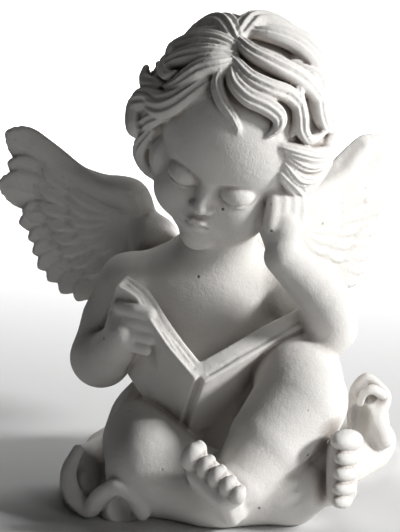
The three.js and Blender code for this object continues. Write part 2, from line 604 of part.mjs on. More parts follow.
function feather(wrist, [out, rise, face], turn, from, to, half, thick, lift, lean) {
  const path = [0, 0.25, 0.5, 0.7, 0.85, 0.95, 1].map((t) => {
    const [reach, angle] = [from + (to - from) * t, radians(turn - 14 * (1 - t) * (1 - t))];
    return plus(plus(plus(wrist, out, reach * Math.cos(angle)), rise, reach * Math.sin(angle)), face, lift * (1 - 0.4 * t));
  });
  const width = (t) => half * Math.min(0.5 + 1.2 * t, 1, Math.sqrt(Math.max(1.02 - ((t - 0.5) / 0.5) ** 4, 0.05)));
  // Feathers overlap like tiles: each leans on the next, so that one long edge stands proud.
  const beside = plus(plus([0, 0, 0], rise, Math.cos(radians(turn))), out, -Math.sin(radians(turn)));
  const leaning = unit(plus(face, beside, lean));
  return strand(path, width, (t) => thick * (1 - 0.3 * t), () => leaning);
}

function addWing(clay, root, wrist, out) {
  const rise = unit(plus([0, 0, 1], out, -out[2]));
  const face = unit(cross(out, rise));
  const axes = [out, rise, face];
  for (const [turn, reach] of PRIMARIES) clay.add(feather(wrist, axes, turn, 6, reach, 8.5, 3.4, 0, 0.25), 1);
  for (const side of SIDES) {
    for (const [turn, reach] of SECONDARIES) clay.add(feather(wrist, axes, turn, 4, reach, 8, 3, side * 3, side * 0.3), 1);
    for (const [turn, reach] of COVERTS) clay.add(feather(wrist, axes, turn, 2, reach, 7.5, 3, side * 5.4, side * 0.3), 1);
  }
  // The bare leading edge, from the shoulder over the wrist to the tip, thins as it goes.
  const edge = [[-2, 2, 9.5], [14, 4, 8], [33, 15, 5.8], [47, 30, 4.6], [57, 44, 3.8]];
  clay.add(rope([[...root, 12], ...edge.map(([o, r, radius]) => [...plus(plus(wrist, out, o), rise, r), radius])]), 3);
  clay.add([egg(plus(mix(root, wrist, 0.6), [0, 0, -26]), [15, 5, 30])], 4);
  clay.add(limb([[...root, 13], [...plus(root, [0, -4, -34]), 11]]), 6);
}

// ---------- the cloth that the sitter sits on ----------
function addCloth(clay) {
  clay.add([egg([8, -4, -3], [78, 66, 15])], 6);
  clay.add(rope([[-54, 24, 7, 13], [-70, -2, 8, 13], [-70, -34, 6, 12.5], [-60, -46, 3, 12.5]]), 5);
  clay.add(rope([[-43, -58, 4, 13.5], [-46, -42, 5, 13.5], [-50, -20, 6, 12]]), 3);
  clay.cut([egg([-43, -68, 6.5], [8.5, 13, 7.5])], 2);
  clay.add([egg([97, 32, 25], [16, 20, 29], [unit([1, 0, 0.12]), [0, 1, 0], unit([-0.12, 0, 1])])], 6);
  clay.add(rope([[86, 4, 6, 13], [104, 32, 8, 14], [103, 58, 6, 13], [70, 68, 6, 12], [20, 66, 8, 12], [-38, 56, 7, 12], [-58, 32, 6, 12]]), 5);
  clay.cut([egg([99, 10, 32], [7.5, 20, 14])], 3);
}

const clay = new Clay(SPACE, GRID);
for (const addTo of [addTorso, addRightLeg, addLeftLeg, addCloth, addRightArm, addLeftArm, addBook, addRightHand, addFace,
  addLeftHand, addHair]) addTo(clay);
addWing(clay, [-27, 32, 136], [-43, 42, 152], unit([-0.97, 0.22, 0]));
addWing(clay, [28, 32, 134], [50, 41, 147], unit([0.84, 0.54, 0]));
clay.close();

// ---------- the finished solid ----------
const wasm = await Module();
wasm.setup();

function solidOf({ positions, triangles }) {
  const mesh = new wasm.Mesh({ numProp: 3, vertProperties: Float32Array.from(positions), triVerts: Uint32Array.from(triangles) });
  return new wasm.Manifold(mesh);
}

// Everything below the floor is cut away, which leaves the flat underside.
const room = new THREE.BoxGeometry(400, 400, 400).translate(0, 0, 200);
room.deleteAttribute('normal').deleteAttribute('uv');
const roomMesh = mergeVertices(room);
const roomSolid = solidOf({ positions: roomMesh.attributes.position.array, triangles: roomMesh.index.array });
const skin = simplify(largestOf(skinOf(clay)), FACES);
const cast = solidOf(skin).intersect(roomSolid).getMesh();

const geometry = new THREE.BufferGeometry();
geometry.setAttribute('position', new THREE.BufferAttribute(Float32Array.from(cast.vertProperties), 3));
geometry.setIndex(Array.from(cast.triVerts));
geometry.computeBoundingBox();
const { min, max } = geometry.boundingBox;
const scale = HEIGHT / (max.z - min.z);
geometry.translate(-(min.x + max.x) / 2, -(min.y + max.y) / 2, -min.z).scale(scale, scale, scale);
geometry.computeVertexNormals();

const stone = new THREE.MeshStandardMaterial({ color: 0xd9d4cc, roughness: 0.88, metalness: 0 });
const statue = new THREE.Mesh(geometry, stone);
statue.name = 'cherub_statue';

const model = new THREE.Group();
model.add(statue);
export default model;
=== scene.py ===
"""A seated cherub reading a book, cast in stone in one piece.

The statue is modelled like clay, in millimetres: rounded shapes are blended into one field of distances,
and the field's skin becomes the mesh, which is then set over the frame's solid. +Z is up, the front faces
-Y and the sitter's left hand is at +X.
"""

import math

import bpy
import numpy as np
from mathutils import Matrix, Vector


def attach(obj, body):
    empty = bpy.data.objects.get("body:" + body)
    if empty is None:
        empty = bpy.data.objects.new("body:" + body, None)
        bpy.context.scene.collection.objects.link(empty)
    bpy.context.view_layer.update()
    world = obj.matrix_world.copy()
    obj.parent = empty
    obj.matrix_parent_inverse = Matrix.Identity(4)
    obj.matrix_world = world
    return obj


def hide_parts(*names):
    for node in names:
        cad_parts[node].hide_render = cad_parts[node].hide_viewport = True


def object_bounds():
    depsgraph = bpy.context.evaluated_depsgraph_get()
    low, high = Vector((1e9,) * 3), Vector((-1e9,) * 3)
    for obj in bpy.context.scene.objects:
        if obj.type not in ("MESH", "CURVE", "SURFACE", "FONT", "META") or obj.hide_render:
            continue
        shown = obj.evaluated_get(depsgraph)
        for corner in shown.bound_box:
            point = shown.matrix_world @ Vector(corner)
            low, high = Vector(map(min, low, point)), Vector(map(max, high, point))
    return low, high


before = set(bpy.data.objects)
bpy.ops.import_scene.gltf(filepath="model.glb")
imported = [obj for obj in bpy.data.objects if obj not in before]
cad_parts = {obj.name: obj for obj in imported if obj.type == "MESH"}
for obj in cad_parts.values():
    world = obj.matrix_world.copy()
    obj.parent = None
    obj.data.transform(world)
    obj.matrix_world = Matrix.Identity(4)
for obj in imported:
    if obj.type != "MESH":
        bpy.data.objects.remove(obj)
CAD_BOX = [list(corner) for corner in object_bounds()]

# ---------- sizes that drive the rest ----------
GRID = 0.8  # spacing of the points at which the field is sampled
FACES = 194_000  # triangles kept when the skin is simplified
SPACE = ((-128, -136, -8), (124, 92, 296))  # the block that the clay lies in
SIDES = (-1, 1)
AIM = (-1, -20, 134)  # the place in the clay that the camera looks at


# ---------- vectors and paths ----------
def unit(vector):
    vector = np.asarray(vector, float)
    return vector / np.linalg.norm(vector)


def smooth(points, steps):
    """A smooth path through points of any dimension, with that many spans to each pair of points."""
    points = [np.asarray(point, float) for point in points]
    ends = [points[0], *points, points[-1]]
    path = []
    for p0, p1, p2, p3 in zip(ends, ends[1:], ends[2:], ends[3:]):
        for t in np.arange(steps) / steps:
            path.append(0.5 * (2 * p1 + (p2 - p0) * t + (2 * p0 - 5 * p1 + 4 * p2 - p3) * t ** 2
                               + (3 * p1 - p0 - 3 * p2 + p3) * t ** 3))
    return [*path, points[-1]]


def runs_of(path):
    """How far along the path each of its points lies."""
    return np.concatenate([[0], np.cumsum([np.linalg.norm(b - a) for a, b in zip(path, path[1:])])])


# ---------- shapes: (lowest corner, highest corner, distance), where distance is negative inside ----------
def bone(a, a_radius, b, b_radius):
    """A round bar that tapers from one radius to the other."""
    a, b = np.asarray(a, float), np.asarray(b, float)
    along = b - a
    length2 = max(along @ along, 1e-9)

    def distance(x, y, z):
        px, py, pz = x - a[0], y - a[1], z - a[2]
        t = np.clip((px * along[0] + py * along[1] + pz * along[2]) / length2, 0, 1)
        near = (px - along[0] * t) ** 2 + (py - along[1] * t) ** 2 + (pz - along[2] * t) ** 2
        return np.sqrt(near) - a_radius - (b_radius - a_radius) * t

    return np.minimum(a - a_radius, b - b_radius), np.maximum(a + a_radius, b + b_radius), distance


def limb(points):
    """Bars one after another through points (x, y, z, radius)."""
    return [bone(a[:3], a[3], b[:3], b[3]) for a, b in zip(points, points[1:])]


def rope(points, steps=4):
    return limb(smooth(points, steps))


def egg(centre, radii, axes=np.eye(3)):
    """An ellipsoid with its radii along three axes."""
    centre, radii, axes = np.asarray(centre, float), np.asarray(radii, float), np.asarray(axes, float)
    reach = np.sqrt(((axes * radii[:, None]) ** 2).sum(0))

    def distance(x, y, z):
        px, py, pz = x - centre[0], y - centre[1], z - centre[2]
        q = [(px * axis[0] + py * axis[1] + pz * axis[2]) / radius for axis, radius in zip(axes, radii)]
        far = np.sqrt(q[0] ** 2 + q[1] ** 2 + q[2] ** 2)
        steep = np.sqrt((q[0] / radii[0]) ** 2 + (q[1] / radii[1]) ** 2 + (q[2] / radii[2]) ** 2)
        return far * (far - 1) / np.maximum(steep, 1e-6)

    return centre - reach, centre + reach, distance


def slab(centre, edges, halves, round_off):
    """A box with rounded edges; its three edge vectors need not be square to each other."""
    centre, edges = np.asarray(centre, float), np.asarray(edges, float)
    duals = np.linalg.inv(edges).T
    reach = np.abs(edges * np.asarray(halves, float)[:, None]).sum(0)

    def distance(x, y, z):
        px, py, pz = x - centre[0], y - centre[1], z - centre[2]
        q = []
        for dual, half in zip(duals, halves):
            place = np.abs(px * dual[0] + py * dual[1] + pz * dual[2])
            q.append((place - half) / np.linalg.norm(dual) + round_off)
        outside = np.sqrt(sum(np.maximum(value, 0) ** 2 for value in q))
        return outside + np.minimum(np.maximum(np.maximum(q[0], q[1]), q[2]), 0) - round_off

    return centre - reach, centre + reach, distance


def strand(path, width, thick, facing, grooves, square=1):
    """A flattened strand along a path, like a lock of hair or a feather.

    Half its width is width(t) and half its thickness thick(t), and it lies flat against the surface whose
    outward direction at a point is facing(point). grooves(t, v) is the share of the thickness left at v, from
    -1 to 1 across it. Its section is an ellipse, or squarer where square is over 1.
    """
    path = [np.asarray(point, float) for point in path]
    spans = len(path) - 1
    runs = runs_of(path)
    shapes = []
    for i, (a, b) in enumerate(zip(path, path[1:])):
        along = unit(b - a)
        across = unit(np.cross(along, facing((a + b) / 2)))
        out = np.cross(across, along)
        span = np.linalg.norm(b - a)
        ends = [width(i / spans), width((i + 1) / spans), thick(i / spans), thick((i + 1) / spans)]
        frame_of = (a, along, across, out, span, ends, runs[i], runs[-1])
        distance = strand_distance(frame_of, grooves, square)
        shapes.append((np.minimum(a, b) - max(ends), np.maximum(a, b) + max(ends), distance))
    return shapes


def strand_distance(frame_of, grooves, square):
    a, along, across, out, span, (wa, wb, ha, hb), start, total = frame_of

    def distance(x, y, z):
        px, py, pz = x - a[0], y - a[1], z - a[2]
        ahead = px * along[0] + py * along[1] + pz * along[2]
        t = np.clip(ahead / span, 0, 1)
        w, h = wa + (wb - wa) * t, ha + (hb - ha) * t
        v = (px * across[0] + py * across[1] + pz * across[2]) / w
        u = px * out[0] + py * out[1] + pz * out[2]
        cap = (ahead - span * t) / h
        h = h * grooves((start + span * t) / total, v)
        u = u / h
        v = np.abs(v)
        far = np.sqrt(cap ** 2 + v ** (2 * square) + u ** 2)
        steep = np.sqrt((cap / h) ** 2 + (square * v ** (2 * square - 1) / w) ** 2 + (u / h) ** 2)
        return far * (far - 1) / np.maximum(steep, 1e-6)

    return distance


# ---------- the clay: a grid of signed distances ----------
class Clay:
    def __init__(self, space, step):
        self.low = np.asarray(space[0], float)
        self.step = step
        self.size = np.ceil((np.asarray(space[1], float) - self.low) / step).astype(int) + 1
        self.values = np.full(self.size, 1e3, np.float32)

    def range(self, low, high, margin):
        """The grid points within margin of a box, as the first and the one past the last along each axis."""
        first = np.floor((low - margin - self.low) / self.step).astype(int)
        last = np.ceil((high + margin - self.low) / self.step).astype(int) + 1
        return np.clip(first, 0, self.size), np.clip(last, 0, self.size)

    def places(self, first, last):
        axes = [self.low[i] + self.step * np.arange(first[i], last[i]) for i in range(3)]
        return np.meshgrid(*[axis.astype(np.float32) for axis in axes], indexing="ij", sparse=True)

    def merge(self, shapes, blend, sign):
        """Joins shapes to the clay, or cuts them out of it where sign is -1, with a fillet of about blend."""
        margin = blend + 2 * self.step
        low = np.min([shape[0] for shape in shapes], axis=0)
        high = np.max([shape[1] for shape in shapes], axis=0)
        first, last = self.range(low, high, margin)
        nearest = np.full(last - first, 1e3, np.float32)
        for shape_low, shape_high, distance in shapes:
            own_first, own_last = self.range(shape_low, shape_high, margin)
            part = nearest[tuple(slice(a - f, b - f) for a, b, f in zip(own_first, own_last, first))]
            np.minimum(part, distance(*self.places(own_first, own_last)), out=part)
        block = self.values[tuple(slice(a, b) for a, b in zip(first, last))]
        was = block * sign
        overlap = np.maximum(blend - np.abs(was - nearest), 0)
        block[...] = sign * (np.minimum(was, nearest) - overlap ** 2 / (4 * blend))

    def add(self, shapes, blend):
        self.merge(list(shapes), blend, 1)

    def cut(self, shapes, blend):
        self.merge(list(shapes), blend, -1)

    def at(self, points):
        """The distance at points, by interpolation."""
        place = np.clip((points - self.low) / self.step, 0, self.size - 1.001)
        cell = place.astype(int)
        f = place - cell
        total = 0
        for corner in np.ndindex(2, 2, 2):
            weight = np.prod(np.where(corner, f, 1 - f), axis=1)
            total = total + weight * self.values[tuple((cell + corner).T)]
        return total


# ---------- the skin: a point in each cell that the surface crosses, joined across crossed edges ----------
def skin_of(clay):
    values = clay.values
    below = values[:, :, : int(round(-clay.low[2] / clay.step))]  # the layers under the floor are cleared
    np.maximum(below, clay.step, out=below)
    inside = values < 0
    corners = list(np.ndindex(2, 2, 2))
    cells = tuple(n - 1 for n in inside.shape)
    count = np.zeros(cells, np.uint8)
    for corner in corners:
        count += inside[tuple(slice(c, c + n) for c, n in zip(corner, cells))]
    active = (count > 0) & (count < 8)
    cell = np.argwhere(active)
    number = np.full(cells, -1, np.int32)
    number[active] = np.arange(len(cell))
    total = np.zeros((len(cell), 3))
    crossings = np.zeros(len(cell))
    for a in corners:
        for axis in range(3):
            if a[axis]:
                continue
            b = tuple(c + (i == axis) for i, c in enumerate(a))
            va = values[tuple((cell + a).T)]
            vb = values[tuple((cell + b).T)]
            crossed = (va < 0) != (vb < 0)
            t = np.where(crossed, va / np.where(crossed, va - vb, 1), 0)
            point = np.array(a) + t[:, None] * (np.arange(3) == axis)
            total += point * crossed[:, None]
            crossings += crossed
    points = clay.low + clay.step * (cell + total / crossings[:, None])
    quads = []
    for axis in range(3):
        one, two = (axis + 1) % 3, (axis + 2) % 3
        step = np.eye(3, dtype=int)
        inner = [slice(1, n) for n in cells]
        ahead = [slice(1, n) for n in cells]
        ahead[axis] = slice(2, cells[axis] + 1)
        starts, ends = inside[tuple(inner)], inside[tuple(ahead)]
        edge = np.argwhere(starts != ends) + 1
        leaving = inside[tuple(edge.T)]
        ring = [edge, edge - step[one], edge - step[one] - step[two], edge - step[two]]
        quad = np.stack([number[tuple(c.T)] for c in ring], axis=1)
        quads.append(np.where(leaving[:, None], quad, quad[:, ::-1]))
    return points, np.concatenate(quads)


# ---------- the sitter's joints ----------
AT = {
    "right_shoulder": (-41, 5, 117), "right_elbow": (-59, 10, 71), "right_wrist": (-48, -26, 89),
    "left_shoulder": (46, 5, 117), "left_elbow": (72, -36, 103), "left_wrist": (45, -52, 148),
    "right_hip": (-28, 10, 29), "right_knee": (-28, -57, 26), "right_ankle": (50, -70, 18),
    "left_hip": (37, 20, 34), "left_knee": (54, -43, 75), "left_ankle": (21, -85, 31),
}


def joint(name, radius):
    return (*AT[name], radius)


def add_torso(clay):
    clay.add([egg((0, 12, 38), (43, 36, 34))], 10)
    clay.add([egg((2, -4, 68), (38, 34, 32))], 16)
    clay.add([egg((4, 4, 108), (40, 29, 36))], 16)
    clay.add(limb([joint("right_shoulder", 16), (4, 8, 120, 20), joint("left_shoulder", 16)]), 14)
    clay.add(limb([(8, 2, 135, 21), (13, -14, 162, 20)]), 12)
    clay.add([egg((-23, 32, 25), (26, 26, 26)), egg((25, 32, 25), (26, 26, 26))], 8)


def add_right_arm(clay):
    clay.add(limb([joint("right_shoulder", 17), (-53, 12, 94, 16.5), joint("right_elbow", 16.5)]), 7)
    clay.add(rope([joint("right_elbow", 16.5), (-56, -8, 76, 16), joint("right_wrist", 10.5)]), 5)


def add_right_hand(clay):
    """The right hand holds the book from outside: four fingers lie one over another across its cover."""
    side = -45  # how far to the side the fingers begin
    clay.add(limb([joint("right_wrist", 10.5), (-43, -37, 99, 10)]), 6)
    clay.add([egg((-44, -33, 104), (9, 6.5, 13))], 5)
    for height, radius, length in ((114, 4.5, 16), (107.2, 4.7, 17.5), (100.3, 4.6, 16.5), (93.8, 4.2, 14)):
        knuckle = (side, -35, height, radius + 0.4)
        middle = (side + length * 0.5, -41.5, height + 0.3, radius)
        tip = (side + length, -45, height - 1, radius * 0.9)
        clay.add(limb([knuckle, middle, tip]), 1)


def add_left_arm(clay):
    clay.add(limb([joint("left_shoulder", 17), (60, -14, 109, 16), joint("left_elbow", 14.5)]), 7)
    clay.add(rope([joint("left_elbow", 14.5), (68, -46, 122, 14.5), joint("left_wrist", 11)]), 4)


def add_left_hand(clay):
    """The left hand is closed beside the cheek: four fingers side by side, pointing up."""
    clay.add([egg((45, -49, 160), (10, 9, 13))], 3)
    knuckles, apart = np.array((38, -52, 166)), np.array((4.9, 2.2, -0.6))
    for i, (length, radius) in enumerate(((22, 4.4), (25, 4.7), (24, 4.6), (20, 4.2))):
        base = knuckles + apart * i
        bend = base + (1.5, 2.5, length * 0.5)
        tip = base + (1, 7, length)
        clay.add(limb([(*base, radius + 0.6), (*bend, radius), (*tip, radius * 0.85)]), 1.4)
    clay.add(limb([(41, -46, 152, 6), (35, -44, 166, 5.2), (33, -42, 176, 4.6)]), 2)


def add_foot(clay, heel, ball, row, top):
    """A foot of five toes; row runs along the toes towards the big one and top out of the instep."""
    heel, ball, row, top = (np.array(value, float) for value in (heel, ball, row, top))
    along = unit(ball - heel)
    clay.add(limb([(*heel, 11), (*((heel + ball) / 2 + top * 2), 11)]), 8)
    clay.add([slab((heel + ball) / 2 - top * 3.5 + along * 3, (along, row, top), (20, 16, 7), 5)], 2.5)
    clay.add(limb([(*(ball + row * 12), 8), (*(ball - row * 12), 7)]), 3)
    # From the big toe on: how far along the row each lies, its radius, and how far it reaches past the ball.
    toes = ((16.4, 6.2, 9), (6.9, 4.7, 9.5), (-1.6, 4.6, 9), (-9.7, 4.3, 8), (-16.8, 3.9, 6.5))
    for place, radius, length in toes:
        tip = ball + row * place + along * length
        clay.add([egg(tip, (radius * 1.5, radius, radius * 1.3), (along, row, top))], 0.7)
        nail = tip + top * radius + along * radius * 0.6
        clay.add([egg(nail, (radius * 0.7, radius * 0.6, radius * 0.42), (along, row, top))], 0.4)


def add_left_leg(clay):
    clay.add(limb([joint("left_hip", 30), (54, -12, 49, 29), joint("left_knee", 24)]), 10)
    shin = [joint("left_knee", 24), (55, -56, 66, 26.5), (37, -72, 48, 22.5), joint("left_ankle", 16)]
    clay.add(limb(shin), 4)
    add_foot(clay, (13, -79, 15), (8.5, -103, 36), (-0.7, 0.58, 0.42), (0.7, 0.46, 0.54))


def add_right_leg(clay):
    clay.add(limb([joint("right_hip", 27), (-30, -22, 30, 27), joint("right_knee", 25.5)]), 8)
    clay.add(limb([joint("right_knee", 24), (4, -69, 19, 22), joint("right_ankle", 18)]), 5)
    add_foot(clay, (66, -46, 18), (76, -80, 33), (0.06, 0.28, 0.96), (-0.96, 0.26, -0.02))
    clay.add(limb([joint("right_ankle", 17), (66, -60, 20, 13), (68, -60, 33, 11)]), 7)
    clay.add(limb([(58, -48, 34, 11), (69, -60, 36, 9)]), 5)


# ---------- the book, open in a V with its pages towards the sitter ----------
BOOK_DOWN = unit((-12, 32, -46))  # from the upper end of the spine to the lower
BOOK_HEIGHT = 56
PAGE_GROOVE = 0.9  # radius of the grooves between the pages
# The upper edge of each half from the spine out, how thick the half is, and how far out its grooves lie.
BOOK_HALVES = (
    (((-1, -62, 84), (-14, -54, 98), (-25, -46, 112), (-33, -39, 123), (-44, -33, 129)), 10.5,
     (-3, -0.9, 1.4)),
    (((-1, -62, 84), (18, -55, 93), (38, -45, 102), (57, -36, 109)), 12.5, (2.8,)),
)


def book_leaves(edge, thick):
    """Thin boxes side by side from the spine out, which make one half of the book."""
    overlap = 1.2
    leaves = []
    path = smooth(edge, 2)
    for a, b in zip(path, path[1:]):
        across = unit(b - a)
        out = unit(np.cross(BOOK_DOWN, across))
        centre = (a + b) / 2 + BOOK_DOWN * BOOK_HEIGHT / 2
        halves = (np.linalg.norm(b - a) / 2 + overlap, BOOK_HEIGHT / 2, thick / 2)
        leaves.append(slab(centre, (across, BOOK_DOWN, out), halves, 1))
    return leaves


def add_book(clay):
    for edge, thick, grooves in BOOK_HALVES:
        clay.add(book_leaves(edge, thick), 1)
        path = smooth(edge, 4)
        for n, place in enumerate(grooves):
            line = []
            for i, (a, b) in enumerate(zip(path, path[1:])):
                out = unit(np.cross(BOOK_DOWN, b - a))
                waver = 0.35 * math.sin(i * 1.1 + 2 * n)
                line.append((*(a + out * (place + waver)), PAGE_GROOVE))
            clay.cut(limb(line[1:]), 0.5)


# ---------- the head: its own side, back and up axes; it nods, turns to the right and leans left ----------
HEAD = np.array((19, -22, 208.5))
HEAD_AXES = np.array(((0.911, -0.242, -0.332), (0.347, 0.887, 0.307), (0.22, -0.395, 0.892)))


def on_head(point):
    return HEAD + np.asarray(point, float) @ HEAD_AXES


def head_egg(centre, radii):
    return egg(on_head(centre), radii, HEAD_AXES)


def head_limb(points):
    return limb([(*on_head(point[:3]), point[3]) for point in points])


def clipped(shape, point, normal):
    """The part of a shape behind a plane through a point, given on the head."""
    low, high, distance = shape
    point = on_head(point)
    normal = unit(np.asarray(normal, float) @ HEAD_AXES)

    def cut_distance(x, y, z):
        ahead = (x - point[0]) * normal[0] + (y - point[1]) * normal[1] + (z - point[2]) * normal[2]
        return np.maximum(distance(x, y, z), ahead)

    return low, high, cut_distance


def add_eye(clay, way):
    """A round eyeball between two lids, the upper one lowered over it."""
    centre = np.array((way * 15, -32.5, -11))
    clay.cut([head_egg(centre + (0, -8.5, 0.5), (10.5, 4.5, 6.5))], 5)
    clay.add([head_egg(centre, (8.2, 8.2, 8.2))], 0.8)
    slit = centre + (0, -8, -2.2)
    upper = clipped(head_egg(centre, (10.6, 9.7, 9.2)), slit, (0, 0.25, -1))
    lower = clipped(head_egg(centre, (10.4, 9.4, 9)), slit + (0, 0, -3), (0, -0.1, 1))
    clay.add([upper, lower], 0.8)


def add_face(clay):
    """Generic and calm: eyes half way down the head, a short nose, a small mouth and full cheeks."""
    clay.add([head_egg((0, 4, 6), (42, 46, 44))], 8)
    clay.add([head_egg((0, -13, 14), (35, 31, 30))], 12)
    clay.add([head_egg((0, -10, -25), (31, 29, 30))], 12)
    clay.add([head_egg((way * 17, -22, -29), (16, 16, 16)) for way in SIDES], 10)
    clay.add([head_egg((0, -14, -48), (18, 18, 10))], 8)
    clay.add([head_egg((0, -30, -37), (13, 12, 10))], 8)
    clay.add([head_egg((0, -32, -50), (8.5, 8, 7))], 6)
    for way in SIDES:
        add_eye(clay, way)
    # The nose: a low bridge, a round tip and two wings.
    clay.add(head_limb([(0, -36.5, -7, 3), (0, -42.5, -20, 3.4)]), 5)
    clay.add([head_egg((0, -43.5, -22.5), (4.2, 4, 3.6))], 2.5)
    clay.add([head_egg((way * 4.6, -41, -23.5), (2.9, 3.4, 2.6)) for way in SIDES], 1.6)
    clay.cut([head_egg((way * 2.6, -42.8, -26.6), (1.3, 1.8, 1.1)) for way in SIDES], 0.8)
    # The lips, closed: a bowed upper one over a fuller lower one.
    for way in SIDES:
        upper = ((0, -42.6, -33.3, 1.5), (way * 2.6, -42.3, -32.6, 1.8), (way * 6, -39.8, -34, 1.3),
                 (way * 8, -37.8, -35, 0.8))
        clay.add(head_limb(smooth(upper, 3)), 1.2)
    clay.add([head_egg((0, -40.8, -37.8), (5.6, 2.8, 2.3))], 1.6)
    for way in SIDES:
        parting = smooth(((0, -44, -35.4, 0.6), (way * 3, -43, -35, 0.5), (way * 6.6, -40.6, -35.4, 0.3)), 3)
        clay.cut(head_limb(parting), 0.8)


# ---------- the hair ----------
HAIR = np.array((-1, 8, 8))
HAIR_RADII = np.array((47.4, 52, 49.5))

# Locks combed about the parting and listed one by one, each with its half width and half thickness. Points
# are directions from the middle of the hair's round mass, to the sitter's left, back and up, and the lift in
# tenths of the radius.
COMBED = (
    # over the crown to the left, and down behind the ear
    (((-2, 2, 9.6, 0.4), (0, 3, 9.5, 0.8), (3, 4, 8.7, 1.2), (6, 3.5, 7.2, 1.2), (8, 2.5, 5.5, 1),
      (9.3, 1.5, 3.5, 0.9), (9.8, 1, 1.5, 0.8)), 8.5, 5),
    (((-2.5, 1, 9.6, 0.4), (0, 1, 10, 0.9), (3, 1.5, 9.4, 1.2), (5.5, 1.5, 8.2, 1.2), (7.5, 1, 6.5, 1),
      (8.8, 0.5, 4.7, 0.9), (9.6, 0, 2.8, 0.8)), 7, 5),
    (((-2.8, -0.8, 9.6, 0.3), (-0.5, -2.5, 9.7, 0.8), (2.3, -2.7, 9.3, 1), (5, -2, 8.4, 1.1),
      (6.8, -1.5, 7.2, 1), (7.8, -1.5, 6, 0.8), (8.5, -2, 4.8, 0.6)), 6.5, 5),
    # over the left of the forehead
    (((-2.2, -3.5, 9.1, 0.2), (0.4, -5, 8.6, 0.8), (2.8, -5, 8.2, 1), (4.8, -4.2, 7.7, 1),
      (6.2, -4, 6.7, 0.9), (6.9, -4.7, 5.5, 0.6), (7, -5.5, 4.5, 0.2)), 5.5, 4.5),
    (((-1.8, -4.6, 8.7, 0.2), (-0.6, -6, 8, 0.7), (1.3, -6.6, 7.4, 0.9), (3.3, -6.3, 7, 1),
      (4.8, -6.1, 6.3, 1), (5.3, -6.5, 5.4, 0.7), (4.8, -7.5, 4.5, 0.2)), 5.5, 4.5),
    (((-1.7, -4.2, 8.9, 0.1), (-2.6, -5.4, 8, 0.4), (-2.3, -6.5, 7.2, 0.4), (-1, -7.6, 6.4, 0.3),
      (0.5, -8.2, 5.7, 0.3), (1.6, -8.6, 4.8, 0.2), (2, -8.9, 4, 0)), 3.8, 3.4),
    # waves at the left temple, and the curls below them
    (((5.3, -2.2, 8.2, 0.6), (5.8, -3.6, 7.4, 0.9), (6.7, -4.3, 6, 1), (7.4, -4.7, 4.8, 0.9),
      (8.3, -4.2, 3.7, 1), (9, -2.3, 3.7, 1.2)), 4.5, 4.5),
    (((6, 0, 8, 0.7), (7, -1, 7, 1), (7.8, -1.8, 6, 1), (8.6, -2, 4.7, 1), (9.3, -1.2, 3.6, 1.1),
      (9.7, 0.8, 2.8, 1.2)), 4.5, 4.5),
    (((6.6, -6.7, 3.4, 0.1), (7.9, -5.4, 2.8, 0.8), (9.2, -3.4, 1.8, 1.1), (9.9, -0.5, 1, 1.2),
      (9.8, 2, 1.5, 1)), 4.5, 4.5),
    (((7.3, -6.3, 2.4, 0.1), (8.8, -4.6, 1, 0.8), (9.8, -2, 0.2, 1.1), (10, 0.8, 0.2, 1)), 4.5, 4.5),
    (((7.5, -6.4, 1.2, 0.1), (8.7, -5, -0.6, 0.8), (9.6, -2.5, -1.4, 1.1), (9.9, 0.5, -1.2, 1)), 4.5, 4.5),
    (((8, -7, 0, 0.1), (9, -5, -2, 0.7), (9, -3, -4, 0.8), (8, -3, -5, 0.5)), 5.5, 5),
    # from the parting to the right
    (((-2.6, -2, 9.4, 0.3), (-4.5, -1.5, 8.8, 0.8), (-6.3, -1, 7.7, 1), (-7.8, -0.5, 6.3, 1.2),
      (-8.8, -0.6, 5, 1.5), (-8.6, -2, 5, 1.6)), 6.5, 5),
    (((-2.4, -3, 9.2, 0.2), (-4.3, -3.3, 8.4, 0.8), (-6.2, -3.2, 7.2, 1), (-7.8, -2.8, 5.6, 1.1),
      (-8.9, -2.5, 4, 1.2), (-9.3, -1.5, 3.2, 1.6)), 6.5, 5),
    (((-2, -3.8, 9, 0.2), (-3.2, -4.6, 8.3, 0.7), (-4.6, -5, 7.3, 0.9), (-5.6, -5.5, 6.2, 0.9),
      (-6.6, -5.6, 4.9, 0.8), (-7.8, -5, 3.6, 0.7)), 6, 5),
    (((-8.8, -1, 4.8, 1.4), (-8.6, -3, 4.2, 1.5), (-7.8, -4.4, 4.5, 1.3), (-7, -4.6, 5.4, 1.1)), 3.5, 3.5),
    (((-8.2, -4, 3, 0.7), (-9.2, -2.8, 1.6, 1.6), (-9.6, -1.8, 1.2, 2.3), (-9.7, -1, 1.8, 2.7)), 4.5, 4),
    (((-4, -6, 7, 0), (-6, -7, 4, 0.6), (-8, -6, 2, 0.8), (-10, -3, 0.5, 1.2), (-10, -1, 1.5, 1.5)),
     8, 5.5),
    (((-3, -1, 10, 0.4), (-5, 2, 8, 1.1), (-7, 3, 6, 1.2), (-9, 1, 5, 0.8)), 8, 6),
    (((-3, 0, 10, 0.4), (-2, 3, 9, 1.2), (1, 4, 9, 1), (4, 4, 8, 0.8)), 9, 6),
    # curls by the right cheek
    (((-7, -7, 3, 0), (-9, -4, 1, 1.3), (-10, -3, -1, 2.3), (-9, -4, -2.5, 2.5), (-9, -4, -3.5, 1.8)),
     7, 6),
    (((-7, -7, 2, 0), (-9, -5, -1, 0.8), (-9, -4, -3, 1), (-7, -6, -3.5, 0.6)), 6.5, 5),
    (((-8, -5, -2, 0.4), (-8, -4, -4.5, 2), (-7, -4, -6, 2.2), (-5, -5, -6.5, 1.2)), 6.5, 5.5),
)


